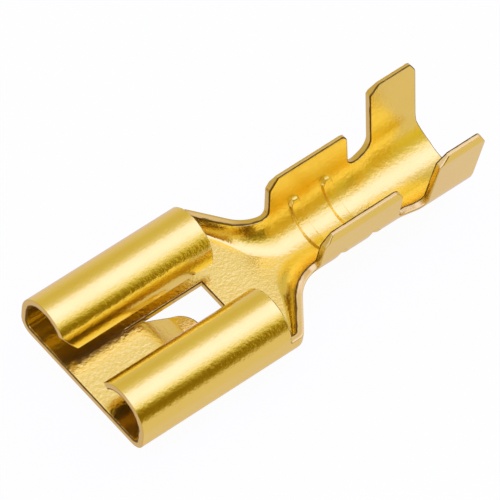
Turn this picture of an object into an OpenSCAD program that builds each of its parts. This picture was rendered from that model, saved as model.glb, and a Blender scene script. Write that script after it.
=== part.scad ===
// Female spade terminal: one stamped and folded brass sheet.
// Millimetres. +Z is up, the mouth for the tab faces -Y, the wire leaves along +Y.

/* [Sheet] */
// thickness of the brass sheet
sheet_t = 0.32; // [0.28:0.01:0.36]

/* [Tab receptacle] */
// outside width over the two rolled edges
rec_w = 7.7; // [7.5:0.05:8.1]
// height from the floor's underside to the top of the rolled edges
rec_h = 2.59; // [2.5:0.01:2.8]
// length of the rolled edges
rec_len = 7.54; // [7.3:0.05:7.8]
// outside radius of the bend between floor and side wall
corner_r = 0.65; // [0.5:0.05:0.9]
// outside radius of the rolled edge
curl_r = 1.395; // [1.3:0.005:1.45]
// straight end of the rolled edge, pointing at the floor
lip_len = 0.225; // [0.1:0.025:0.3]
// how far the lip's front corner is cut back
lip_cut_len = 0.66; // [0.4:0.02:0.9]
// how high the cut reaches up the lip's front
lip_cut_h = 0.98; // [0.8:0.02:1.1]

/* [Window and locking tongue] */
// width of the window in the floor
win_w = 1.94; // [1.7:0.02:2.2]
// front end of the slits beside the tongue
win_y0 = 2.98; // [2.7:0.02:3.2]
// rear edge of the window
win_y1 = 6.93; // [6.6:0.05:7.2]
// slit on each side of the tongue
slit_w = 0.05; // [0.04:0.01:0.1]
// middle of the bend where the tongue leaves the floor
tongue_y0 = 3.73; // [3.66:0.01:3.85]
// radius of that bend on the tongue's upper face
tongue_r = 1.24; // [1.0:0.02:1.3]
// angle of the tongue's sloping part
tongue_angle = 34; // [30:1:38]
// depth of the tongue's level part below the floor
tongue_drop = 1.07; // [0.9:0.01:1.15]
// tip of the tongue
tongue_y1 = 6.1; // [5.9:0.02:6.4]
// length of the tongue's rounded nose
nose_len = 0.92; // [0.6:0.02:1.0]

/* [Shoulder] */
// height of the side wall's edge behind the rolled edges
wall_h = 1.06; // [1.0:0.01:1.15]
// distance from the rolled edges' rear end to where the side walls turn inward
shoulder_gap = 0.66; // [0.56:0.02:0.8]
// angle of the walls to the length, seen from above
shoulder_angle = 52; // [49:0.5:55]
// outside radius where the wall turns inward
shoulder_r = 0.45; // [0.4:0.01:0.5]
// radius where the wall runs into the wire barrel
throat_r = 1.72; // [1.6:0.02:1.8]
// distance from where the walls turn inward to the wire barrel's wings
neck_len = 2.55; // [2.52:0.01:2.65]

/* [Wire barrel] */
// outside width over the wings' tops
wire_w = 3.888; // [3.8:0.01:4.0]
// height of the wings' tops
wire_h = 3.13; // [2.9:0.01:3.4]
// outward lean of the wings
wire_lean = 5.5; // [4.5:0.25:6.5]
// how far the barrel's bottom lies below the receptacle's floor
wire_drop = 0.173; // [0.1:0.01:0.22]
// length of the wings
wire_len = 4.11; // [3.85:0.02:4.25]
// how much of the wings' front corner is sloped off, along the length
wire_lead_l = 0.45; // [0.35:0.01:0.55]
// how much of the wings' front corner is sloped off, in height
wire_lead_h = 0.58; // [0.45:0.01:0.7]
// rounding of the wings' rear corner
wire_end_r = 0.42; // [0.3:0.02:0.5]

/* [Serrations] */
// distance from the wings' front edge to the middle of the front rib
rib_gap = 1.23; // [1.1:0.01:1.45]
// distance from rib to rib
rib_pitch = 1.66; // [1.4:0.02:1.8]
// width of a rib at its foot
rib_w = 0.56; // [0.4:0.02:0.7]
// height of a rib, and depth of the groove behind it
rib_h = 0.12; // [0.06:0.01:0.14]
// height on the wall that the ribs reach
rib_top = 1.3; // [1.1:0.02:1.35]

/* [Notch between the barrels] */
// length of the notch
notch_len = 1.34; // [1.3:0.01:1.5]
// height of the low wall between the barrels
notch_h = 1.06; // [1.0:0.02:1.2]
// rounding of the notch's corners
notch_r = 0.46; // [0.36:0.02:0.5]

/* [Insulation barrel] */
// outside width over the wings' tops
ins_w = 4.812; // [4.6:0.02:4.9]
// height of the wings' tops
ins_h = 4.5; // [4.2:0.05:4.8]
// outward lean of the wings
ins_lean = 7.96; // [7:0.24:8.92]
// how far the barrel's bottom lies below the receptacle's floor
ins_drop = 0.257; // [0.18:0.01:0.3]
// length of the wings
ins_len = 2.38; // [2.1:0.02:2.7]
// how much of the wings' front corner is sloped off, along the length
ins_lead_l = 0.52; // [0.4:0.01:0.65]
// how much of the wings' front corner is sloped off, in height
ins_lead_h = 0.45; // [0.35:0.01:0.6]
// how much of the wings' rear corner is sloped off, along the length
ins_end_l = 0.28; // [0.22:0.01:0.4]
// how much of the wings' rear corner is sloped off, in height
ins_end_h = 0.5; // [0.4:0.01:0.65]
// how far the floor stands out behind the wings
tail_len = 0.2; // [0.1:0.02:0.3]
// height above the floor's underside where the rear edge starts to slope out
tail_h = 0.95; // [0.8:0.05:1.4]

/* [Wing tips] */
// thickness left at the coined tips of the wings
tip_t = 0.19; // [0.15:0.01:0.24]
// height of the coined band
tip_h = 0.3; // [0.2:0.02:0.4]

/* [Small roundings] */
// rounding where the rolled edges run down to the wall
fillet_r = 0.12; // [0.08:0.01:0.16]
// rounding at the foot of the wire barrel's front edge
neck_r = 0.32; // [0.24:0.02:0.4]
// rounding of the wings' front corners
front_r = 0.12; // [0.08:0.01:0.16]
// rounding of the insulation wings' rear corners
rear_r = 0.3; // [0.2:0.02:0.34]
// rounding on the tongue's upper face where it turns level
foot_r = 0.3; // [0.2:0.02:0.5]

/* [Hidden] */
$fn = 72;
half_w = rec_w / 2;
win_gap = win_w / 2;
curl_x = half_w - curl_r;
curl_z = rec_h - curl_r;
floor_x = half_w - corner_r;
lip_z = curl_z - lip_len;
shoulder_y = rec_len + shoulder_gap;
wire_y0 = shoulder_y + neck_len;
wire_y1 = wire_y0 + wire_len;
rib_y = wire_y0 + rib_gap;
ins_y0 = wire_y1 + notch_len;
ins_y1 = ins_y0 + ins_len;
body_len = ins_y1 + tail_len;

// radius of the circle that touches a barrel's lowest line and both leaning wings
function bottom_r(xo, zo, lean, drop) =
    (xo * cos(lean) - (zo + drop) * sin(lean)) / (1 - sin(lean));
wire_r = bottom_r(wire_w / 2, wire_h, wire_lean, wire_drop);
ins_r = bottom_r(ins_w / 2, ins_h, ins_lean, ins_drop);

// the side wall's outside line seen from above: straight, shoulder, slope, throat
wire_x = wire_r * sqrt(1 - pow((wire_r - wire_drop - wall_h) / wire_r, 2));
shoulder_l = shoulder_r * tan(shoulder_angle / 2);
throat_l = throat_r * tan(shoulder_angle / 2);
throat_y = shoulder_y + (half_w - wire_x) / tan(shoulder_angle);
ya = shoulder_y - shoulder_l;
yb = shoulder_y + shoulder_l * cos(shoulder_angle);
yc = throat_y - throat_l * cos(shoulder_angle);
yd = throat_y + throat_l;
lead = sheet_t * 0.375;
neck_y1 = wire_y0 - lead;
function plan_x(y) =
    y <= ya ? half_w :
    y < yb ? half_w - shoulder_r + sqrt(pow(shoulder_r, 2) - pow(y - ya, 2)) :
    y < yc ? half_w - (y - shoulder_y) * tan(shoulder_angle) :
    y < yd ? wire_x + throat_r - sqrt(pow(throat_r, 2) - pow(yd - y, 2)) : wire_x;
function plan_a(y) =
    y <= ya ? 0 :
    y < yb ? asin((y - ya) / shoulder_r) :
    y < yc ? shoulder_angle :
    y < yd ? asin((yd - y) / throat_r) : 0;

function mix(a, b, w) = a + (b - a) * w;
function ease(u) = let (c = max(0, min(1, u))) c * c * (3 - 2 * c);

// half of a section: a flat floor 2 f wide, a bend of radii rx and rz, a leaning wall up to h
side_n = 12;
chord_a = 2;
rad = 180 / PI;
function half_section(f, rx, rz, lean, drop, a0, h) =
    let (
        z0 = rz * (1 - sin(lean)) - drop,
        bent = h < z0 ? acos(1 - (h + drop) / rz) : 90 - lean,
        up = max(0, h - z0),
        all = bent + up / rz * rad
    )
    [for (k = [0 : side_n])
        let (p = mix(a0, all, k / side_n), a = min(p, bent), z = (p - a) / rad * rz)
        [f + rx * sin(a) + z * tan(lean) * rx / rz, rz * (1 - cos(a)) - drop + z]];
function both(s) = concat([for (k = [len(s) - 1 : -1 : 0]) [-s[k][0], s[k][1]]], s);

// section of the floor and walls at a station between receptacle and wire barrel
function neck(y) =
    let (
        w = ease((y - yc + lead) / (neck_y1 - yc + lead)),
        rz = mix(corner_r, wire_r, w),
        lean = wire_lean * w,
        drop = wire_drop * w,
        q = (rz - drop - wall_h) / rz,
        reach = q > sin(lean) ? sqrt(1 - q * q)
            : cos(lean) + (wall_h + drop - rz * (1 - sin(lean))) * tan(lean) / rz,
        x = plan_x(y),
        rx = min(rz / cos(plan_a(y)), x / reach),
        h = edge_z(min(y, neck_y1)) - (y > neck_y1 ? inset : 0)
    )
    both(half_section(x - rx * reach, rx, rz, lean, drop, chord_a * w, h));

// section between the two barrels
blend_y0 = wire_y1 + lead / 2;
blend_y1 = ins_y0 - lead / 3;
function waist(y) =
    let (
        c = max(blend_y0, min(blend_y1, y)),
        w = ease((c - blend_y0) / (blend_y1 - blend_y0)),
        r = mix(wire_r, ins_r, w),
        h = edge_z(c) - (c == y ? 0 : inset)
    )
    both(half_section(0, r, r, mix(wire_lean, ins_lean, w), mix(wire_drop, ins_drop, w),
        chord_a, h));

// a bent length of sheet through a row of sections; its ends reach into the exact pieces
// beside it, and it is a few microns thinner than they are
skin = sheet_t / 40;
inset = sheet_t / 16;
function unit(v) = v / norm(v);
function point(ys, ss, i, j) = [ss[i][j][0], ys[i], ss[i][j][1]];
function outward(ys, ss, i, j, m, n) =
    let (
        tj = point(ys, ss, i, min(j + 1, n)) - point(ys, ss, i, max(j - 1, 0)),
        ti = (i == 0 || i == m) ? [0, 1, 0]
            : unit(point(ys, ss, i + 1, j) - point(ys, ss, i, j))
                + unit(point(ys, ss, i, j) - point(ys, ss, i - 1, j))
    )
    unit(cross(ti, tj));

module shell(ys, ss) {
    m = len(ys) - 1;
    n = len(ss[0]) - 1;
    k = n + 1;
    outer_p = [for (i = [0 : m], j = [0 : n])
        point(ys, ss, i, j) - skin * outward(ys, ss, i, j, m, n)];
    inner_p = [for (i = [0 : m], j = [0 : n])
        point(ys, ss, i, j) - (sheet_t - skin) * outward(ys, ss, i, j, m, n)];
    o = (m + 1) * k;
    faces = concat(
        [for (i = [0 : m - 1], j = [0 : n - 1], h = [0, 1])
            let (a = i * k + j)
            h == 0 ? [a, a + 1, a + k] : [a + 1, a + k + 1, a + k]],
        [for (i = [0 : m - 1], j = [0 : n - 1], h = [0, 1])
            let (a = o + i * k + j)
            h == 0 ? [a, a + k, a + 1] : [a + 1, a + k, a + k + 1]],
        [for (i = [0 : m - 1], h = [0, 1])
            let (a = i * k)
            h == 0 ? [a, a + k, o + a] : [o + a, a + k, o + a + k]],
        [for (i = [0 : m - 1], h = [0, 1])
            let (a = i * k + n)
            h == 0 ? [a, o + a, a + k] : [o + a, o + a + k, a + k]],
        [for (j = [0 : n - 1])
            [j, o + j, o + j + 1, j + 1]],
        [for (j = [0 : n - 1])
            [m * k + j, m * k + j + 1, o + m * k + j + 1, o + m * k + j]]
    );
    polyhedron(concat(outer_p, inner_p), faces, convexity = 8);
}

// corners [x, y, radius] rounded into a closed outline
function bend(p, q, s, n = 6) =
    let (
        c = [q[0], q[1]],
        u = unit([p[0], p[1]] - c),
        v = unit([s[0], s[1]] - c),
        half = acos(u * v) / 2,
        d = q[2] / tan(half),
        mid = c + unit(u + v) * q[2] / sin(half),
        e0 = c + u * d - mid,
        e1 = c + v * d - mid,
        turn = 180 - 2 * half
    )
    [for (k = [0 : n])
        mid + (e0 * sin(turn * (1 - k / n)) + e1 * sin(turn * k / n)) / sin(turn)];
function rounded(ps) = [for (i = [0 : len(ps) - 1])
    each (ps[i][2] > 0
        ? bend(ps[(i + len(ps) - 1) % len(ps)], ps[i], ps[(i + 1) % len(ps)])
        : [[ps[i][0], ps[i][1]]])];

// turns a profile drawn in x and z into a bar along the length
module along(y0, y1) {
    translate([0, y1, 0])
        rotate([90, 0, 0])
            linear_extrude(y1 - y0)
                children();
}

// turns a profile drawn in y and z into a bar across the width
module across(w) {
    translate([-w / 2, 0, 0])
        rotate([90, 0, 90])
            linear_extrude(w)
                children();
}

module ring(r, a0, a1) {
    intersection() {
        difference() {
            circle(r);
            circle(r - sheet_t);
        }
        polygon([[0, 0],
            2 * r * [cos(a0), sin(a0)],
            3 * r * [cos((a0 + a1) / 2), sin((a0 + a1) / 2)],
            2 * r * [cos(a1), sin(a1)]]);
    }
}

// ties two lengths of sheet together inside their thickness, where they meet
module tie(p, a = 0) {
    translate(p)
        rotate(a)
            square(sheet_t / 2, center = true);
}

module mirrored() {
    children();
    mirror([1, 0, 0])
        children();
}

// floor, bend and side wall of the receptacle
module tray_profile(h) {
    translate([-floor_x, 0])
        square([2 * floor_x, sheet_t]);
    mirrored() {
        translate([floor_x, corner_r])
            ring(corner_r, -90, 0);
        translate([half_w - sheet_t, corner_r])
            square([sheet_t, h - corner_r]);
        tie([floor_x, sheet_t / 2]);
        tie([half_w - sheet_t / 2, corner_r]);
    }
}

module curl_profile() {
    tray_profile(curl_z);
    mirrored() {
        translate([curl_x, curl_z])
            ring(curl_r, 0, 90);
        translate([curl_x, curl_z])
            ring(curl_r, 90, 180);
        translate([curl_x - curl_r, lip_z])
            square([sheet_t, lip_len]);
        tie([half_w - sheet_t / 2, curl_z]);
        tie([curl_x, rec_h - sheet_t / 2]);
        tie([curl_x - curl_r + sheet_t / 2, curl_z]);
    }
}

// one barrel: round bottom, leaning wings, tips coined on the outside
module barrel_profile(xo, h, lean, drop, r) {
    c = r - drop;
    along_w = [sin(lean), cos(lean)];
    into_w = [-cos(lean), sin(lean)];
    foot = [r * cos(lean), c - r * sin(lean)];
    top = foot + along_w * ((h - foot[1]) / cos(lean) + sheet_t);
    band = foot + along_w * ((h - tip_h - foot[1]) / cos(lean));
    step = into_w * (sheet_t - tip_t);
    mirrored() {
        translate([0, c])
            ring(r, -90, -lean);
        polygon([foot, band, band + along_w * tip_h + step, top + step,
            top + into_w * sheet_t, foot + into_w * sheet_t]);
        tie(foot + into_w * sheet_t / 2, -lean);
    }
}

module receptacle() {
    difference() {
        along(0, rec_len)
            curl_profile();
        across(2 * (curl_x - curl_r / 4))
            polygon([[-curl_r, lip_z - lip_len], [-curl_r, lip_z + lip_cut_h + curl_r],
                [0, lip_z + lip_cut_h], [lip_cut_len, lip_z], [lip_cut_len, lip_z - lip_len]]);
    }
}

// the walls' upper edge from the rolled edges to the tail, seen from the side
edge_pts = concat(
    [for (k = [0 : 5])
        [rec_len + fillet_r * (1 - cos(18 * k)), wall_h + fillet_r * (1 - sin(18 * k))]],
    rounded([
        [shoulder_y, wall_h, 0],
        [wire_y0 - lead / 3, wall_h - lead / 6, neck_r],
        [wire_y0, wire_h - wire_lead_h, front_r],
        [wire_y0 + wire_lead_l, wire_h, front_r],
        [wire_y1 - wire_end_r / 4, wire_h, wire_end_r],
        [wire_y1, notch_h, notch_r],
        [ins_y0, notch_h, notch_r],
        [ins_y0, ins_h - ins_lead_h, front_r],
        [ins_y0 + ins_lead_l, ins_h, front_r],
        [ins_y1 - ins_end_l, ins_h, rear_r],
        [ins_y1, ins_h - ins_end_h, rear_r],
        [ins_y1, tail_h, rear_r],
        [body_len, 0, 0],
        [body_len, -rec_h, 0],
        [rec_len, -rec_h, 0]
    ])
);
neck_edge = [for (p = edge_pts) if (p[1] < wire_h * 0.64 && p[1] > 0 && p[0] < wire_y0) p];
waist_edge = [for (p = edge_pts) if (p[1] < wire_h * 0.83 && p[1] > 0
    && p[0] > wire_y1 - lead / 2 && p[0] < ins_y0) p];
function edge_z(y) = y < wire_y0 ? lookup(y, neck_edge) : lookup(y, waist_edge);

module trimmed() {
    intersection() {
        children();
        across(2 * rec_w)
            polygon(edge_pts);
    }
}

module channel() {
    neck_ys = concat(
        [rec_len - 1.25 * sheet_t],
        [for (k = [0 : 3]) rec_len + fillet_r * k / 3],
        [for (k = [0 : 5]) ya + shoulder_r * sin(shoulder_angle * k / 5)],
        [mix(yb, yc, 0.4), yc - lead],
        [for (k = [1 : 8]) mix(yc, neck_y1, 1 - pow(1 - k / 9, 1.3))],
        [for (k = [1 : 3]) mix(mix(yc, neck_y1, 1 - pow(1 / 9, 1.3)), neck_y1, k / 3)],
        [neck_y1 + 2 * lead]
    );
    waist_ys = concat(
        [blend_y0 - 2 * lead],
        [for (k = [0 : 9]) mix(blend_y0, blend_y1, k / 9)],
        [blend_y1 + 2 * lead]
    );
    shell(neck_ys, [for (y = neck_ys) neck(y)]);
    trimmed()
        along(neck_y1, blend_y0)
            barrel_profile(wire_w / 2, wire_h, wire_lean, wire_drop, wire_r);
    shell(waist_ys, [for (y = waist_ys) waist(y)]);
    trimmed()
        along(blend_y1, body_len)
            barrel_profile(ins_w / 2, ins_h, ins_lean, ins_drop, ins_r);
}

// a band around the wire barrel's axis; the profile is drawn as [y, r]
module band_ring(y, ps, a) {
    translate([0, y, wire_r - wire_drop])
        rotate([-90, 0, 0])
            rotate([0, 0, 90 - a])
                rotate_extrude(angle = 2 * a)
                    polygon([for (p = ps) [p[1], p[0]]]);
}

rib_a = 90 - asin((wire_r - wire_drop - rib_top) / (wire_r - sheet_t));
module rib(y) {
    r = wire_r - sheet_t;
    band_ring(y, [[-rib_w * 0.6, r + lead / 2], [-rib_w / 5, r - rib_h],
        [rib_w / 5, r - rib_h], [rib_w * 0.6, r + lead / 2]], rib_a);
}

module groove(y) {
    r = wire_r;
    band_ring(y, [[-rib_w * 0.6, r + lead], [-rib_w / 6, r - rib_h],
        [rib_w / 6, r - rib_h], [rib_w * 0.6, r + lead]], rib_a);
}

module window() {
    translate([-win_gap, win_y0, -sheet_t])
        cube([2 * win_gap, win_y1 - win_y0, 3 * sheet_t]);
}

// the locking tongue: bent down out of the floor, then level
module tongue() {
    w = 2 * (win_gap - slit_w);
    run = tongue_drop / tan(tongue_angle);
    y1 = tongue_y0 + run;
    d = sheet_t * tan(tongue_angle / 2);
    intersection() {
        across(w)
            polygon(rounded([
                [win_y0, 0, 0],
                [win_y0, sheet_t, 0],
                [tongue_y0, sheet_t, tongue_r],
                [y1, sheet_t - tongue_drop, foot_r],
                [tongue_y1 + nose_len, sheet_t - tongue_drop, 0],
                [tongue_y1 + nose_len, -tongue_drop, 0],
                [y1 - d, -tongue_drop, foot_r + sheet_t],
                [tongue_y0 - d, 0, tongue_r - sheet_t]
            ]));
        translate([0, 0, -rec_h])
            linear_extrude(2 * rec_h)
                polygon(concat(
                    [[-w / 2, win_y0]],
                    [for (k = [0 : 24])
                        let (a = 180 - 7.5 * k)
                        [w / 2 * cos(a), tongue_y1 - nose_len + nose_len * sin(a)]],
                    [[w / 2, win_y0]]
                ));
    }
}

module terminal_body() {
    color([0.80, 0.66, 0.34])
        translate([0, -body_len / 2, tongue_drop])
            union() {
                difference() {
                    union() {
                        receptacle();
                        channel();
                        rib(rib_y);
                        rib(rib_y + rib_pitch);
                    }
                    window();
                    groove(rib_y);
                    groove(rib_y + rib_pitch);
                }
                tongue();
            }
}

terminal_body();
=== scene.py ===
import math

import bpy
import numpy as np
from mathutils import Matrix


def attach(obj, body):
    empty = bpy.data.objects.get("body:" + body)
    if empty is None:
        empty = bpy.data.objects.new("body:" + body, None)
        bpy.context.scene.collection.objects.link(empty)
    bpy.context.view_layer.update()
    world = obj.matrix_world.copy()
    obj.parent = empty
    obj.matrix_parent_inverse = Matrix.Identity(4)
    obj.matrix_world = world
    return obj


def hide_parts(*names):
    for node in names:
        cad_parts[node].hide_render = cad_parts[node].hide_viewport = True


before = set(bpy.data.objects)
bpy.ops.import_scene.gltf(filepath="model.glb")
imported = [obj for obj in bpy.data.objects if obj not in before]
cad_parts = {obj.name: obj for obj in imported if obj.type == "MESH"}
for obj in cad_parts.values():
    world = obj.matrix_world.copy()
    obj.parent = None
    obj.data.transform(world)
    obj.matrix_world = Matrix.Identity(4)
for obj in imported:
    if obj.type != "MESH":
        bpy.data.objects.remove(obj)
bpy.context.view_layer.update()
print("frame loaded")

mm = 0.001


# the folded sheet, with every size in millimetres: x across, y from the tab's mouth to the wire's end, z up

sheet = {
    "thickness": 0.32,
    "cell": 0.085,           # size of a mesh cell
    "outsideRounding": 0.028,  # rounding along the cut edges
    "insideRounding": 0.04,
}
receptacle = {
    "width": 7.7, "height": 2.59, "length": 7.54,
    "cornerRadius": 0.65, "curlRadius": 1.395, "lipLength": 0.225,
    "lipCutLength": 0.66, "lipCutHeight": 0.98, "filletRadius": 0.12,
}
window = {"halfWidth": 0.97, "front": 2.98, "rear": 6.93, "slit": 0.05}
tongue = {
    "bendAt": 3.73, "angle": 34.0, "drop": 1.07, "tip": 6.1, "noseLength": 0.92,
    "topRadius": 1.24, "footRadius": 0.3,
}
shoulder = {"wallHeight": 1.06, "at": 8.2, "angle": 52.0, "radius": 0.45, "throatRadius": 1.72}
wireBarrel = {
    "width": 3.888, "height": 3.13, "lean": 5.5, "drop": 0.173, "front": 10.75, "rear": 14.86,
    "leadLength": 0.45, "leadHeight": 0.58, "rearRadius": 0.42,
}
ribs = {
    "at": [11.98, 13.64], "width": 0.56, "height": 0.17, "top": 1.42,
    "taper": 0.5,        # length over which a rib narrows to its top
    "topShare": 0.4,     # share of the width that is left there
    "run": 0.14,         # length of the slope that ends it
    "sideShare": 0.3,    # share of the half width that each side's slope takes
}
insulationBarrel = {
    "width": 4.812, "height": 4.5, "lean": 7.96, "drop": 0.257, "front": 16.2, "rear": 18.58,
    "tail": 0.2, "tailHeight": 0.95,
    "leadLength": 0.52, "leadHeight": 0.45, "endLength": 0.28, "endHeight": 0.5,
}
cornerRadii = {"neck": 0.32, "front": 0.12, "rear": 0.3, "notch": 0.46}
wingTip = {"thickness": 0.19, "height": 0.3}


def smoothStep(t):
    # 3t^2 - 2t^3 between 0 and 1
    t = np.clip(t, 0.0, 1.0)
    return t * t * (3.0 - 2.0 * t)


def mix(a, b, w):
    # a at w = 0, b at w = 1
    return a + (b - a) * w


def bottomRadius(b):
    # radius of the circle that touches the barrel's lowest line and both leaning walls
    lean = math.radians(b["lean"])
    side = b["width"] / 2 * math.cos(lean) - (b["height"] + b["drop"]) * math.sin(lean)
    return side / (1 - math.sin(lean))


halfWidth = receptacle["width"] / 2
curlX = halfWidth - receptacle["curlRadius"]
curlZ = receptacle["height"] - receptacle["curlRadius"]
lipZ = curlZ - receptacle["lipLength"]
edgeZ = shoulder["wallHeight"]
wireRadius = bottomRadius(wireBarrel)
insRadius = bottomRadius(insulationBarrel)
bodyLength = insulationBarrel["rear"] + insulationBarrel["tail"]

# where the side wall turns in, seen from above
shoulderAngle = math.radians(shoulder["angle"])
wireX = wireRadius * math.sqrt(1 - ((wireRadius - wireBarrel["drop"] - edgeZ) / wireRadius) ** 2)
throatAt = shoulder["at"] + (halfWidth - wireX) / math.tan(shoulderAngle)
turnStart = shoulder["at"] - shoulder["radius"] * math.tan(shoulderAngle / 2)
turnEnd = turnStart + shoulder["radius"] * math.sin(shoulderAngle)
throatStart = throatAt - shoulder["throatRadius"] * math.tan(shoulderAngle / 2) * math.cos(shoulderAngle)
throatEnd = throatStart + shoulder["throatRadius"] * math.sin(shoulderAngle)
neckEnd = wireBarrel["front"] - 0.12
dishStart = mix(turnEnd, throatStart, 0.1)
blendStart = wireBarrel["rear"] + 0.06
blendEnd = insulationBarrel["front"] - 0.04


def wallLine(y):
    # the wall's distance from the middle and its angle: straight, an arc, a slope, an arc
    r, big = shoulder["radius"], shoulder["throatRadius"]
    a = np.clip((y - turnStart) / r, 0, 1)
    b = np.clip((throatEnd - y) / big, 0, 1)
    x = np.select(
        [y <= turnStart, y < turnEnd, y < throatStart, y < throatEnd],
        [halfWidth + 0 * y, halfWidth - r + r * np.sqrt(1 - a * a),
         halfWidth - (y - shoulder["at"]) * math.tan(shoulderAngle),
         wireX + big - big * np.sqrt(1 - b * b)], wireX)
    angle = np.select(
        [y <= turnStart, y < turnEnd, y < throatStart, y < throatEnd],
        [0 * y, np.arcsin(a), 0 * y + shoulderAngle, np.arcsin(b)], 0.0)
    return x, angle


def sectionAt(y):
    # flat half width, bend radii across and up, lean and drop of the cross-section at y
    w = smoothStep((y - dishStart) / (neckEnd - dishStart))
    rz = mix(receptacle["cornerRadius"], wireRadius, w)
    lean = math.radians(wireBarrel["lean"]) * w
    drop = wireBarrel["drop"] * w
    q = np.clip((rz - drop - edgeZ) / rz, -1, 1)
    reach = np.where(q > np.sin(lean), np.sqrt(1 - q * q),
                     np.cos(lean) + (edgeZ + drop - rz * (1 - np.sin(lean))) * np.tan(lean) / rz)
    x, angle = wallLine(y)
    rx = np.minimum(rz / np.cos(angle), x / reach)
    flat = x - rx * reach
    v = smoothStep((y - blendStart) / (blendEnd - blendStart))
    r = mix(wireRadius, insRadius, v)
    back = y >= neckEnd
    rx, rz = np.where(back, r, rx), np.where(back, r, rz)
    flat = np.where(back, 0.0, flat)
    lean = np.where(back, np.radians(mix(wireBarrel["lean"], insulationBarrel["lean"], v)), lean)
    drop = np.where(back, mix(wireBarrel["drop"], insulationBarrel["drop"], v), drop)
    return flat, rx, rz, lean, drop


def lengthAt(y, z):
    # distance along the section, from the middle line to height z
    flat, rx, rz, lean, drop = sectionAt(y)
    r = (rx + rz) / 2
    foot = rz * (1 - np.sin(lean)) - drop
    bent = np.arccos(np.clip(1 - (np.minimum(z, foot) + drop) / rz, -1, 1))
    return flat + r * bent + np.maximum(z - foot, 0)


def channelPoint(y, s):
    # outer surface: s runs along the flat floor, round the bend, then up the leaning wall
    flat, rx, rz, lean, drop = sectionAt(y)
    r = (rx + rz) / 2
    a = np.maximum(np.abs(s) - flat, 0) / r
    full = math.pi / 2 - lean
    bend = np.minimum(a, full)
    up = (a - bend) * r
    x = np.minimum(np.abs(s), flat) + rx * np.sin(bend) + up * np.tan(lean) * rx / rz
    z = rz * (1 - np.cos(bend)) - drop + up
    return np.stack([np.sign(s) * x, y + 0 * x, z], axis=-1)


def curlPoint(y, s):
    # outer surface of the rolled edge: up the wall, half a circle over, straight down the lip
    rise = curlZ - edgeZ
    r = receptacle["curlRadius"]
    a = np.clip((s - rise) / r, 0, math.pi)
    down = np.maximum(s - rise - math.pi * r, 0)
    low = np.minimum(s, rise)
    x = curlX + r * np.cos(a)
    z = edgeZ + low + r * np.sin(a) - down
    return np.stack([x, y + 0 * x, z], axis=-1)


def tonguePoint(y, x):
    # underside of the tongue: level, an arc down, a slope, an arc back to level
    a = math.radians(tongue["angle"])
    t = sheet["thickness"]
    r1, r2 = tongue["topRadius"], tongue["footRadius"]
    footAt = tongue["bendAt"] + tongue["drop"] / math.tan(a)
    k1, k2 = r1 * math.tan(a / 2), r2 * math.tan(a / 2)
    p1 = tongue["bendAt"] - k1
    p2 = tongue["bendAt"] + k1 * math.cos(a)
    p3 = footAt - k2 * math.cos(a)
    p4 = footAt + k2
    arc1 = r1 - np.sqrt(np.maximum(r1 ** 2 - np.clip(y - p1, 0, p2 - p1) ** 2, 0))
    arc2 = r2 - np.sqrt(np.maximum(r2 ** 2 - np.clip(p4 - y, 0, p4 - p3) ** 2, 0))
    slope = np.clip(y - tongue["bendAt"], p2 - tongue["bendAt"], p3 - tongue["bendAt"]) * math.tan(a)
    z = np.select([y < p1, y < p2, y < p3, y < p4],
                  [0 * y, -arc1, -slope, -tongue["drop"] + arc2], -tongue["drop"])
    return np.stack([x + 0 * y, y + 0 * x, z + t + 0 * x], axis=-1)


def outwardNormal(surface, y, s):
    # cross product of the surface's two slopes, pointing away from the channel's inside
    e = 1e-4
    dy = surface(y + e, s) - surface(y - e, s)
    ds = surface(y, s + e) - surface(y, s - e)
    n = np.cross(dy, ds)
    return n / np.linalg.norm(n, axis=-1, keepdims=True)


def ribDepth(y, z):
    # how far a rib stands in: a flat-topped ridge along the section, narrowing and then ending at its top
    d = 0 * y
    half = ribs["width"] / 2 * mix(ribs["topShare"], 1, smoothStep((ribs["top"] - z) / ribs["taper"]))
    for middle in ribs["at"]:
        across = np.abs(y - middle) / half
        d = np.maximum(d, ribs["height"] * smoothStep((1.08 - across) / ribs["sideShare"]))
    return d * smoothStep((ribs["top"] - z) / ribs["run"])


def skins(surface, y, s, coined=0.0, ribbed=False):
    # both faces of the sheet: the surface, and the same surface moved in by the thickness
    p = surface(y, s)
    n = outwardNormal(surface, y, s)
    t = sheet["thickness"]
    if ribbed:
        p = p - n * ribDepth(p[..., 1], p[..., 2])[..., None]
    return p - n * np.asarray(coined)[..., None], p - n * t


def roundedOutline(corners, steps=14):
    # replaces each corner of a polyline by an arc that touches both of its sides
    out = []
    for i, (y, z, r) in enumerate(corners):
        c = np.array([y, z])
        if r == 0:
            out.append(c[None])
            continue
        u = np.array(corners[i - 1][:2]) - c
        v = np.array(corners[i + 1][:2]) - c
        u, v = u / np.linalg.norm(u), v / np.linalg.norm(v)
        half = math.acos(np.clip(u @ v, -1, 1)) / 2
        middle = c + (u + v) / np.linalg.norm(u + v) * r / math.sin(half)
        e0, e1 = c + u * r / math.tan(half) - middle, c + v * r / math.tan(half) - middle
        turn = math.pi - 2 * half
        k = np.linspace(0, 1, steps)[:, None]
        out.append(middle + (e0 * np.sin(turn * (1 - k)) + e1 * np.sin(turn * k)) / math.sin(turn))
    return np.concatenate(out)


def span(a, b, cell, ends=False):
    # evenly spaced steps from a to b, or closer together near both ends
    n = max(2, int(math.ceil(abs(b - a) / cell)) + 1)
    t = np.linspace(0, 1, n)
    if ends:
        t = (1 - np.cos(math.pi * t)) / 2
    return a + (b - a) * t


def joined(*parts):
    # one row of places from several, each starting where the last one ends
    return np.concatenate([parts[0]] + [p[1:] for p in parts[1:]])


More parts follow.
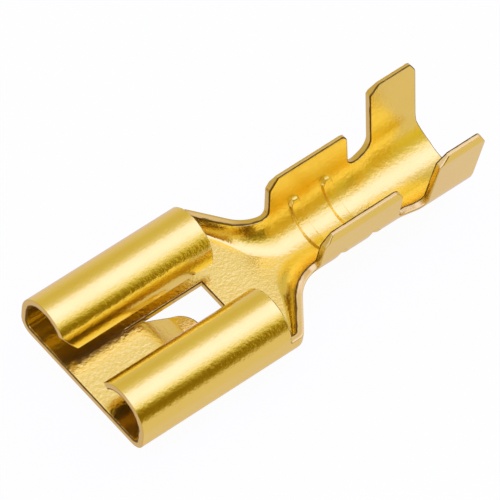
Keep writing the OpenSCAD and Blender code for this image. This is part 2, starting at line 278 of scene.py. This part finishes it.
class Patches:
    # collects grids of outer and inner points, and welds them where they meet
    def __init__(self):
        self.outer, self.inner, self.quads, self.count = [], [], [], 0

    def add(self, outer, inner, keep=None, flip=False):
        n, m = outer.shape[:2]
        index = np.arange(n * m).reshape(n, m) + self.count
        q = np.stack([index[:-1, :-1], index[1:, :-1], index[1:, 1:], index[:-1, 1:]], axis=-1)
        q = q[keep] if keep is not None else q.reshape(-1, 4)
        self.quads.append(q[:, ::-1] if flip else q)
        self.outer.append(outer.reshape(-1, 3))
        self.inner.append(inner.reshape(-1, 3))
        self.count += n * m

    def welded(self):
        outer, inner = np.concatenate(self.outer), np.concatenate(self.inner)
        quads = np.concatenate(self.quads)
        # the other half is the mirror image
        side = np.array([-1.0, 1.0, 1.0])
        quads = np.concatenate([quads, quads[:, ::-1] + len(outer)])
        outer, inner = np.concatenate([outer, outer * side]), np.concatenate([inner, inner * side])
        key = np.round(np.concatenate([outer, inner], axis=1) / 2e-4).astype(np.int64)
        _, first, back = np.unique(key, axis=0, return_index=True, return_inverse=True)
        quads = back.reshape(-1)[quads]
        used = np.unique(quads)
        renumber = np.zeros(len(first), dtype=np.int64)
        renumber[used] = np.arange(len(used))
        return outer[first][used], inner[first][used], renumber[quads]


def terminalPatches():
    # right half of the sheet in five grids: the channel, the rolled edge, the tongue and two wings
    cell = sheet["cell"]
    patches = Patches()
    wire, ins, corner = wireBarrel, insulationBarrel, cornerRadii
    rearTop = roundedOutline([
        (shoulder["at"], edgeZ, 0),
        (wire["front"] - 0.04, edgeZ, corner["neck"]),
        (wire["front"], wire["height"] - wire["leadHeight"], corner["front"]),
        (wire["front"] + wire["leadLength"], wire["height"], corner["front"]),
        (wire["rear"] - 0.1, wire["height"], wire["rearRadius"]),
        (wire["rear"], edgeZ, corner["notch"]),
        (ins["front"], edgeZ, corner["notch"]),
        (ins["front"], ins["height"] - ins["leadHeight"], corner["front"]),
        (ins["front"] + ins["leadLength"], ins["height"], corner["front"]),
        (ins["rear"] - ins["endLength"], ins["height"], corner["rear"]),
        (ins["rear"], ins["height"] - ins["endHeight"], corner["rear"]),
        (ins["rear"], ins["tailHeight"], corner["rear"]),
        (bodyLength, 0, 0),
        (bodyLength, -2.0, 0),
    ])

    def branch(low, high, rising):
        # the part of the outline that climbs or falls between two places, as y for a height
        k = (rearTop[:, 0] >= low - 1e-6) & (rearTop[:, 0] <= high + 1e-6)
        p = rearTop[k]
        p = p if rising else p[::-1]
        return lambda z: np.interp(z, p[:, 1], p[:, 0])

    wireMiddle = (wireBarrel["front"] + wireBarrel["rear"]) / 2
    insMiddle = (insulationBarrel["front"] + insulationBarrel["rear"]) / 2
    gap = (wireBarrel["rear"] + insulationBarrel["front"]) / 2
    wireFront = branch(shoulder["at"] + 0.1, wireMiddle, True)
    wireRear = branch(wireMiddle, gap, False)
    insFront = branch(gap, insMiddle, True)
    insRear = branch(insMiddle, 99, False)

    # rows along the length, with one at each place where another patch begins or ends
    wireRoot = (float(wireFront(edgeZ)), float(wireRear(edgeZ)))
    insRoot = float(insFront(edgeZ))
    ribStart = ribs["at"][0] - 0.5
    ribEnd = ribs["at"][1] + 0.5
    fillet = receptacle["filletRadius"]
    front = joined(span(0, window["front"], cell * 1.2), span(window["front"], window["rear"], cell * 1.2),
                   span(window["rear"], receptacle["length"], cell * 1.2),
                   span(receptacle["length"], receptacle["length"] + fillet, 0.03))
    wireRows = joined(span(wireRoot[0], ribStart, cell), span(ribStart, ribEnd, 0.024),
                      span(ribEnd, wireRoot[1], cell))
    neckRows = joined(span(front[-1], turnStart, cell), span(turnStart, turnEnd, 0.04),
                      span(turnEnd, wireRoot[0], cell))
    insRows = span(insRoot, bodyLength, cell)
    rows = joined(front, neckRows, wireRows, span(wireRoot[1], insRoot, cell), insRows)

    # columns from the middle line to the height where the wings and rolled edges begin
    total = float(lengthAt(np.array(0.0), np.array(edgeZ)))
    slitX = window["halfWidth"] - window["slit"]
    columns = joined(span(0, slitX, cell * 1.1), span(slitX, window["halfWidth"], 1.0),
                     span(window["halfWidth"], total, cell * 1.1)) / total
    y, c = np.meshgrid(rows, columns, indexing="ij")
    zLast = channelPoint(np.full(len(columns), 18.0),
                         columns * lengthAt(np.full(len(columns), 18.0), edgeZ))[:, 2]
    stretch = (insRear(zLast) - insRoot) / (bodyLength - insRoot)
    y = np.where(y > insRoot, insRoot + (y - insRoot) * stretch[None, :], y)
    outer, inner = skins(channelPoint, y, c * lengthAt(y, edgeZ), ribbed=True)
    middleRow = (rows[:-1] + rows[1:]) / 2
    middleColumn = (columns[:-1] + columns[1:]) / 2 * total
    hole = ((middleRow > window["front"]) & (middleRow < window["rear"]))[:, None] \
        & (middleColumn < window["halfWidth"])[None, :]
    patches.add(outer, inner, keep=~hole)

    # rolled edge, with the lip's front corner cut back
    rise = curlZ - edgeZ
    arc = math.pi * receptacle["curlRadius"]
    around = joined(span(0, rise, 0.03), span(rise, rise + arc, cell),
                    span(rise + arc, rise + arc + receptacle["lipLength"], 0.06))
    z = curlPoint(np.zeros(len(around)), around)[:, 2]
    cut = receptacle["lipCutLength"] * (1 - (z - lipZ) / receptacle["lipCutHeight"])
    yLow = np.where(around > rise + arc / 2, np.maximum(cut, 0), 0)
    up = np.clip(edgeZ + fillet - z, 0, fillet)
    rounding = fillet - np.sqrt(np.maximum(fillet ** 2 - up ** 2, 0))
    yHigh = receptacle["length"] + np.where(around < rise + 0.1, rounding, 0)
    share = front / front[-1]
    y = yLow[None, :] + share[:, None] * (yHigh - yLow)[None, :]
    s = np.broadcast_to(around[None, :], y.shape)
    outer, inner = skins(curlPoint, y, s)
    patches.add(outer, inner)

    # tongue
    x = columns[columns * total < slitX + 1e-6] * total
    noseStart = tongue["tip"] - tongue["noseLength"]
    turn = x / slitX * math.pi / 2
    nose = noseStart + tongue["noseLength"] * np.cos(turn)
    t = span(0, 1, cell / 3.0)
    y = window["front"] + t[:, None] * (nose - window["front"])[None, :]
    xx = mix(x[None, :], slitX * np.sin(turn)[None, :], smoothStep(t * 1.4)[:, None])
    top = tonguePoint(y, xx)
    n = outwardNormal(tonguePoint, y, xx)
    patches.add(top + n * sheet["thickness"], top)

    # wings: at each height the sheet runs from the front edge to the rear edge
    def wing(barrel, frontEdge, rearEdge, rootRows):
        top = barrel["height"] - sheet["thickness"] * math.sin(math.radians(barrel["lean"]))
        levels = joined(span(edgeZ, edgeZ + 0.4, 0.05, True), span(edgeZ + 0.4, top - 0.45, cell),
                        span(top - 0.45, top - wingTip["height"], 0.04),
                        span(top - wingTip["height"], top, 0.025, True))
        share = (rootRows - rootRows[0]) / (rootRows[-1] - rootRows[0])
        a, b = frontEdge(levels), rearEdge(levels)
        y = a[:, None] + (b - a)[:, None] * share[None, :]
        z = np.broadcast_to(levels[:, None], y.shape)
        pressed = np.clip((z - top + wingTip["height"]) / wingTip["height"], 0, 1)
        coined = (sheet["thickness"] - wingTip["thickness"]) * pressed
        outer, inner = skins(channelPoint, y, lengthAt(y, z), coined=coined, ribbed=True)
        patches.add(outer, inner, flip=True)

    wing(wireBarrel, wireFront, wireRear, wireRows)
    lastRows = insRoot + (insRows - insRoot) * stretch[-1]
    wing(insulationBarrel, insFront, insRear, lastRows)
    return patches.welded()


def rimRows(outer, inner, quads):
    # closes the free edges with a rounded band: an arc, the cut face, an arc
    edges = np.concatenate([quads[:, [0, 1]], quads[:, [1, 2]], quads[:, [2, 3]], quads[:, [3, 0]]])
    edges = edges[edges[:, 0] != edges[:, 1]]
    both = np.sort(edges, axis=1)
    _, back, many = np.unique(both, axis=0, return_inverse=True, return_counts=True)
    free = edges[many[back.reshape(-1)] == 1]
    normal = outer - inner
    thick = np.linalg.norm(normal, axis=1, keepdims=True)
    normal = normal / thick
    along = outer[free[:, 1]] - outer[free[:, 0]]
    away = np.cross(along, normal[free[:, 0]] + normal[free[:, 1]])
    away /= np.maximum(np.linalg.norm(away, axis=1, keepdims=True), 1e-12)
    g = np.zeros_like(outer)
    np.add.at(g, free[:, 0], away)
    np.add.at(g, free[:, 1], away)
    size = np.linalg.norm(g, axis=1, keepdims=True)
    ring = np.unique(free)
    # longer in a corner, so that the rounding keeps its width on both sides
    g = g / np.maximum(size, 1e-9) * np.minimum(2 / np.maximum(size, 1e-9), 1.5)
    a, b = sheet["outsideRounding"], sheet["insideRounding"]
    h = 1 - math.sqrt(0.5)
    o, i, n, t, w = outer[ring], inner[ring], normal[ring], thick[ring], g[ring]
    rows = [o - a * h * w - a * h * n, o - a * n]
    for f in (0.3, 0.6, 0.8):
        rows.append(o - n * (a + (t - a - b) * f) - w * 0.012 * max(0.0, f - 0.5))
    rows += [i + b * n, i - b * h * w + b * h * n]
    outer, inner = outer.copy(), inner.copy()
    outer[ring] = o - a * w
    inner[ring] = i - b * w
    return outer, inner, free, ring, np.stack(rows)


def buildSheet(name, shift):
    # both skins and the band between them, as one closed mesh
    outer, inner, quads = terminalPatches()
    outer, inner, free, ring, rows = rimRows(outer, inner, quads)
    n = len(outer)
    place = np.full(n, -1)
    place[ring] = np.arange(len(ring))
    count = rows.shape[0]
    # level 0 is the outer skin's edge, then the rows, then the inner skin's edge
    def level(k, v):
        return v if k == 0 else (n + v if k == count + 1 else 2 * n + (k - 1) * len(ring) + place[v])
    bands = [np.stack([level(k, free[:, 1]), level(k, free[:, 0]),
                       level(k + 1, free[:, 0]), level(k + 1, free[:, 1])], axis=1)
             for k in range(count + 1)]
    faces = np.concatenate([quads, quads[:, ::-1] + n] + bands)
    points = np.concatenate([outer, inner, rows.reshape(-1, 3)]) + np.array(shift)
    depth = np.concatenate([np.zeros(n), np.ones(n), np.repeat(np.linspace(0.04, 0.96, count), len(ring))])
    isCut = np.concatenate([np.zeros(2 * len(quads)), np.ones(len(free) * (count + 1))]).astype(np.int32)
    mesh = bpy.data.meshes.new(name)
    # a cell that shrank to a triangle is written as one
    mesh.from_pydata(points * mm, [], [list(dict.fromkeys(f)) for f in faces.tolist()])
    mesh.polygons.foreach_set("material_index", isCut)
    mesh.polygons.foreach_set("use_smooth", np.ones(len(isCut), dtype=bool))
    layer = mesh.attributes.new("cutDepth", "FLOAT", "POINT")
    layer.data.foreach_set("value", depth)
    mesh.validate()
    mesh.update()
    piece = bpy.data.objects.new(name, mesh)
    bpy.context.collection.objects.link(piece)
    print(name, len(mesh.vertices), "points", len(mesh.polygons), "faces")
    return piece


shift = (0, -bodyLength / 2, tongue["drop"])
terminal = buildSheet("foldedSheet", shift)


# finishes

def linear(hexColour):
    # sRGB hex to linear, channel by channel
    c = [int(hexColour[i:i + 2], 16) / 255 for i in (1, 3, 5)]
    return [v / 12.92 if v <= 0.04045 else ((v + 0.055) / 1.055) ** 2.4 for v in c] + [1.0]


def addNode(tree, kind, settings=None, inputs=None):
    # one node with its settings; an input that is a socket is linked, any other is a value
    node = tree.nodes.new(kind)
    for key, value in (settings or {}).items():
        setattr(node, key, value)
    for key, value in (inputs or {}).items():
        if isinstance(value, bpy.types.NodeSocket):
            tree.links.new(value, node.inputs[key])
        else:
            node.inputs[key].default_value = value
    return node


def setStops(ramp, stops):
    # a colour ramp's places and colours
    while len(ramp.elements) < len(stops):
        ramp.elements.new(1.0)
    for element, (at, colour) in zip(ramp.elements, stops):
        element.position = at
        element.color = colour


def newMaterial(name):
    # an empty node material and its tree
    material = bpy.data.materials.new(name)
    material.use_nodes = True
    material.node_tree.nodes.clear()
    return material, material.node_tree


brassFace = {
    # yellower than real brass, to suit the coloured tent: under white light it turns lemon yellow
    "colour": "#FCE66C", "warmColour": "#F8DD62",
    "roughness": 0.17,
    "insideRoughness": 0.2,  # the tumbling reached the inside less
    "peelSize": 0.17,     # mm, grain of the slightly pebbled polish
    "peelHeight": 0.012,  # mm
    "insidePeelHeight": 0.018,  # mm
    "streakSpacing": 0.09,  # mm, rolling marks across the length
    "streakHeight": 0.0009,
    "patchSize": 1.6,      # mm, faint warmer patches
}


def makeBrassFace():
    # stamped brass sheet, rolled and tumbled bright: soft mirror, fine pebbling, faint rolling marks
    v = brassFace
    material, tree = newMaterial("stampedBrass")
    place = addNode(tree, "ShaderNodeTexCoord").outputs["Object"]
    peel = addNode(tree, "ShaderNodeTexNoise", None,
                   {"Vector": place, "Scale": 1 / (v["peelSize"] * mm), "Detail": 3.0, "Roughness": 0.6})
    along = addNode(tree, "ShaderNodeMapping", None, {"Vector": place, "Scale": (0.12, 1.0, 0.12)})
    streak = addNode(tree, "ShaderNodeTexNoise", None,
                     {"Vector": along.outputs[0], "Scale": 1 / (v["streakSpacing"] * mm), "Detail": 2.0})
    patch = addNode(tree, "ShaderNodeTexNoise", None,
                    {"Vector": place, "Scale": 1 / (v["patchSize"] * mm), "Detail": 4.0})
    warm = addNode(tree, "ShaderNodeMix", {"data_type": "RGBA"},
                   {"Factor": patch.outputs["Fac"], "A": linear(v["colour"]), "B": linear(v["warmColour"])})
    side = addNode(tree, "ShaderNodeAttribute", {"attribute_name": "cutDepth"}).outputs["Fac"]
    rough = addNode(tree, "ShaderNodeMapRange", None,
                    {"Value": side, "To Min": v["roughness"], "To Max": v["insideRoughness"]})
    high = addNode(tree, "ShaderNodeMapRange", None,
                   {"Value": side, "To Min": v["peelHeight"] * mm, "To Max": v["insidePeelHeight"] * mm})
    bump = addNode(tree, "ShaderNodeBump", None,
                   {"Height": peel.outputs["Fac"], "Distance": high.outputs[0], "Strength": 1.0})
    bump = addNode(tree, "ShaderNodeBump", None,
                   {"Height": streak.outputs["Fac"], "Distance": v["streakHeight"] * mm, "Strength": 1.0,
                    "Normal": bump.outputs[0]})
    shader = addNode(tree, "ShaderNodeBsdfPrincipled", None,
                     {"Base Color": warm.outputs["Result"], "Metallic": 1.0, "Roughness": rough.outputs[0],
                      "Normal": bump.outputs[0]})
    addNode(tree, "ShaderNodeOutputMaterial", None, {"Surface": shader.outputs[0]})
    return material


cutEdge = {
    "burnished": "#E6CA62", "fractured": "#775A1A",
    "burnishedRoughness": 0.24, "fracturedRoughness": 0.5,
    "split": 0.72,      # share of the thickness that the punch left bright
    "grain": 0.05,      # mm, torn grain of the broken part
    "grainHeight": 0.004,   # mm
    "wander": 0.35,     # mm, spacing of the wavy line between the two bands
    "wanderDepth": 0.35,    # how far that line strays, as a share of the thickness
}


def makeCutEdge():
    # sheared brass: a bright burnished band, then a darker torn band
    v = cutEdge
    material, tree = newMaterial("shearedBrassEdge")
    place = addNode(tree, "ShaderNodeTexCoord").outputs["Object"]
    depth = addNode(tree, "ShaderNodeAttribute", {"attribute_name": "cutDepth"}).outputs["Fac"]
    grain = addNode(tree, "ShaderNodeTexNoise", None,
                    {"Vector": place, "Scale": 1 / (v["grain"] * mm), "Detail": 3.0})
    wander = addNode(tree, "ShaderNodeTexNoise", None,
                     {"Vector": place, "Scale": 1 / (v["wander"] * mm), "Detail": 2.0})
    moved = addNode(tree, "ShaderNodeMath", {"operation": "MULTIPLY_ADD"},
                    {0: wander.outputs["Fac"], 1: v["wanderDepth"], 2: depth})
    torn = addNode(tree, "ShaderNodeMapRange", {"interpolation_type": "SMOOTHSTEP"},
                   {"Value": moved.outputs[0], "From Min": v["split"] + 0.1, "From Max": v["split"] + 0.25})
    colour = addNode(tree, "ShaderNodeMix", {"data_type": "RGBA"},
                     {"Factor": torn.outputs[0], "A": linear(v["burnished"]), "B": linear(v["fractured"])})
    rough = addNode(tree, "ShaderNodeMapRange", None,
                    {"Value": torn.outputs[0], "To Min": v["burnishedRoughness"],
                     "To Max": v["fracturedRoughness"]})
    bump = addNode(tree, "ShaderNodeBump", None,
                   {"Height": grain.outputs["Fac"], "Distance": v["grainHeight"] * mm, "Strength": 0.8})
    shader = addNode(tree, "ShaderNodeBsdfPrincipled", None,
                     {"Base Color": colour.outputs["Result"], "Metallic": 1.0, "Roughness": rough.outputs[0],
                      "Normal": bump.outputs[0]})
    addNode(tree, "ShaderNodeOutputMaterial", None, {"Surface": shader.outputs[0]})
    return material


terminal.data.materials.append(makeBrassFace())
terminal.data.materials.append(makeCutEdge())
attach(terminal, "root")
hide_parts("terminal_body")
print("brass finishes made")


# studio: a white table, a tent of light, a dark card and the camera

studio = {
    "floorSize": 1.2,        # m
    "floorColour": "#F2F8E6",
    "floorGlow": 0.95,       # share of the floor that is seen as plain white
    "floorMirrored": (0.75, 0.64, 0.8, 1.0),   # the floor's light as the metal shows it
    # light around the part's length: angle from straight up towards +X, and its linear colour;
    # it is far from white, with about three times as much blue as red overhead
    "sky": [
        (-180, (0.6, 0.5, 0.6)), (-165, (0.7, 0.62, 0.85)), (-97, (0.75, 0.65, 0.94)),
        (-82, (0.71, 0.61, 0.64)), (-60, (0.66, 0.55, 0.36)), (-40, (0.69, 0.6, 0.55)),
        (-26, (0.87, 0.8, 1.3)), (-13, (1.2, 1.2, 3.8)), (14, (1.2, 1.22, 4.0)), (26, (1.1, 1.1, 3.0)),
        (37, (0.97, 0.92, 1.4)), (50, (0.72, 0.61, 0.35)), (62, (0.67, 0.54, 0.12)),
        (76, (0.77, 0.62, 0.14)), (87, (0.76, 0.6, 0.28)), (98, (0.61, 0.48, 0.42)),
        (112, (0.72, 0.62, 0.86)), (150, (0.72, 0.62, 0.86)), (168, (0.62, 0.52, 0.6)), (180, (0.6, 0.5, 0.6)),
    ],
    # a dark card beside the rolled edges: distance, ends along the length, softness there, in mm
    "cardAt": 40.0, "cardEnds": (-45.0, 20.0), "cardSoftness": 4.0,
    # its colour and how solid it is, by height in mm
    "card": [
        (0, (0.5, 0.36, 0.1), 0.3), (3, (0.38, 0.26, 0.02), 0.9), (9, (0.23, 0.15, 0.0), 1.0),
        (24, (0.2, 0.12, 0.0), 1.0), (34, (0.4, 0.3, 0.0), 0.95), (54, (0.8, 0.75, 0.3), 0.0),
    ],
}


def makeFloor():
    # white table that keeps a faint shadow, and shows its own light in the metal
    v = studio
    h = v["floorSize"] / 2
    mesh = bpy.data.meshes.new("studioFloor")
    z = -0.01 * mm  # clear of the tongue's flat underside, which rests on it
    mesh.from_pydata([(-h, -h, z), (h, -h, z), (h, h, z), (-h, h, z)], [], [(0, 1, 2, 3)])
    floor = bpy.data.objects.new("studioFloor", mesh)
    bpy.context.collection.objects.link(floor)
    material, tree = newMaterial("whiteTable")
    path = addNode(tree, "ShaderNodeLightPath")
    seen = addNode(tree, "ShaderNodeMath", {"operation": "ADD", "use_clamp": True},
                   {0: path.outputs["Is Camera Ray"], 1: path.outputs["Is Glossy Ray"]})
    seen = addNode(tree, "ShaderNodeMath", {"operation": "ADD", "use_clamp": True},
                   {0: seen.outputs[0], 1: path.outputs["Is Transmission Ray"]})
    share = addNode(tree, "ShaderNodeMath", {"operation": "MULTIPLY"}, {0: seen.outputs[0], 1: v["floorGlow"]})
    matt = addNode(tree, "ShaderNodeBsdfDiffuse", None, {"Color": linear(v["floorColour"])})
    light = addNode(tree, "ShaderNodeMix", {"data_type": "RGBA"},
                    {"Factor": path.outputs["Is Glossy Ray"], "A": (1, 1, 1, 1), "B": v["floorMirrored"]})
    glow = addNode(tree, "ShaderNodeEmission", None, {"Color": light.outputs["Result"], "Strength": 1.0})
    both = addNode(tree, "ShaderNodeMixShader", None,
                   {0: share.outputs[0], 1: matt.outputs[0], 2: glow.outputs[0]})
    addNode(tree, "ShaderNodeOutputMaterial", None, {"Surface": both.outputs[0]})
    mesh.materials.append(material)


def makeWorld():
    # a tent of soft coloured light along the part: bluest overhead, dimmer and warmer at the sides
    v = studio
    world = bpy.data.worlds.new("lightTent")
    world.use_nodes = True
    bpy.context.scene.world = world
    tree = world.node_tree
    tree.nodes.clear()
    way = addNode(tree, "ShaderNodeTexCoord").outputs["Generated"]
    axes = addNode(tree, "ShaderNodeSeparateXYZ", None, {0: way})
    angle = addNode(tree, "ShaderNodeMath", {"operation": "ARCTAN2"},
                    {0: axes.outputs["X"], 1: axes.outputs["Z"]})
    turn = addNode(tree, "ShaderNodeMapRange", None,
                   {"Value": angle.outputs[0], "From Min": -math.pi, "From Max": math.pi})
    ramp = addNode(tree, "ShaderNodeValToRGB", None, {0: turn.outputs[0]})
    top = max(max(s[1]) for s in v["sky"])
    setStops(ramp.color_ramp, [(a / 360 + 0.5, [c / top for c in light] + [1.0]) for a, light in v["sky"]])
    sky = addNode(tree, "ShaderNodeBackground", None, {"Color": ramp.outputs[0], "Strength": top})
    plain = addNode(tree, "ShaderNodeBackground", None, {"Color": (1, 1, 1, 1), "Strength": 1.0})
    path = addNode(tree, "ShaderNodeLightPath")
    both = addNode(tree, "ShaderNodeMixShader", None,
                   {0: path.outputs["Is Camera Ray"], 1: sky.outputs[0], 2: plain.outputs[0]})
    addNode(tree, "ShaderNodeOutputWorld", None, {"Surface": both.outputs[0]})


def makeCard():
    # seen only in the metal: it neither shades the table nor shows in the picture
    v = studio
    a, b = (e * mm for e in v["cardEnds"])
    x, h = v["cardAt"] * mm, v["card"][-1][0] * mm
    mesh = bpy.data.meshes.new("darkCard")
    mesh.from_pydata([(x, a, 0), (x, b, 0), (x, b, h), (x, a, h)], [], [(0, 3, 2, 1)])
    card = bpy.data.objects.new("darkCard", mesh)
    bpy.context.collection.objects.link(card)
    card.visible_camera = card.visible_diffuse = card.visible_shadow = False
    material, tree = newMaterial("softDarkCard")
    place = addNode(tree, "ShaderNodeTexCoord").outputs["Object"]
    axes = addNode(tree, "ShaderNodeSeparateXYZ", None, {0: place})
    up = addNode(tree, "ShaderNodeMapRange", None, {"Value": axes.outputs["Z"], "From Max": h})
    colour = addNode(tree, "ShaderNodeValToRGB", None, {0: up.outputs[0]})
    setStops(colour.color_ramp, [(z * mm / h, list(light) + [1.0]) for z, light, _ in v["card"]])
    solid = addNode(tree, "ShaderNodeValToRGB", None, {0: up.outputs[0]})
    setStops(solid.color_ramp, [(z * mm / h, [k, k, k, 1.0]) for z, _, k in v["card"]])
    end = addNode(tree, "ShaderNodeMapRange", {"interpolation_type": "SMOOTHSTEP"},
                  {"Value": axes.outputs["Y"], "From Min": b - v["cardSoftness"] * mm, "From Max": b,
                   "To Min": 1.0, "To Max": 0.0})
    share = addNode(tree, "ShaderNodeMath", {"operation": "MULTIPLY"}, {0: end.outputs[0], 1: solid.outputs[0]})
    clear = addNode(tree, "ShaderNodeBsdfTransparent")
    glow = addNode(tree, "ShaderNodeEmission", None, {"Color": colour.outputs[0], "Strength": 1.0})
    both = addNode(tree, "ShaderNodeMixShader", None,
                   {0: share.outputs[0], 1: clear.outputs[0], 2: glow.outputs[0]})
    addNode(tree, "ShaderNodeOutputMaterial", None, {"Surface": both.outputs[0]})
    mesh.materials.append(material)


# a long lens on one front corner, high up; its three directions are across, up and away from the part
camera = {
    "place": (114.55, -105.10 - 9.39, 231.75 + 1.07),  # mm
    "right": (0.6315, 0.7725, 0.0671),
    "up": (-0.6591, 0.4892, 0.5713),
    "back": (0.4085, -0.4049, 0.8180),
    "lens": 508.5,
}


def makeCamera():
    # the camera's turn is the matrix of its three directions
    v = camera
    lens = bpy.data.cameras.new("camera")
    lens.lens = v["lens"]
    lens.sensor_width = 36
    lens.clip_start = 0.01
    lens.clip_end = 10
    eye = bpy.data.objects.new("camera", lens)
    turn = Matrix((v["right"], v["up"], v["back"])).transposed().to_4x4()
    eye.matrix_world = Matrix.Translation([c * mm for c in v["place"]]) @ turn
    bpy.context.collection.objects.link(eye)
    bpy.context.scene.camera = eye


makeFloor()
makeWorld()
makeCard()
makeCamera()
bpy.context.scene.view_settings.view_transform = "Standard"
print("studio ready")
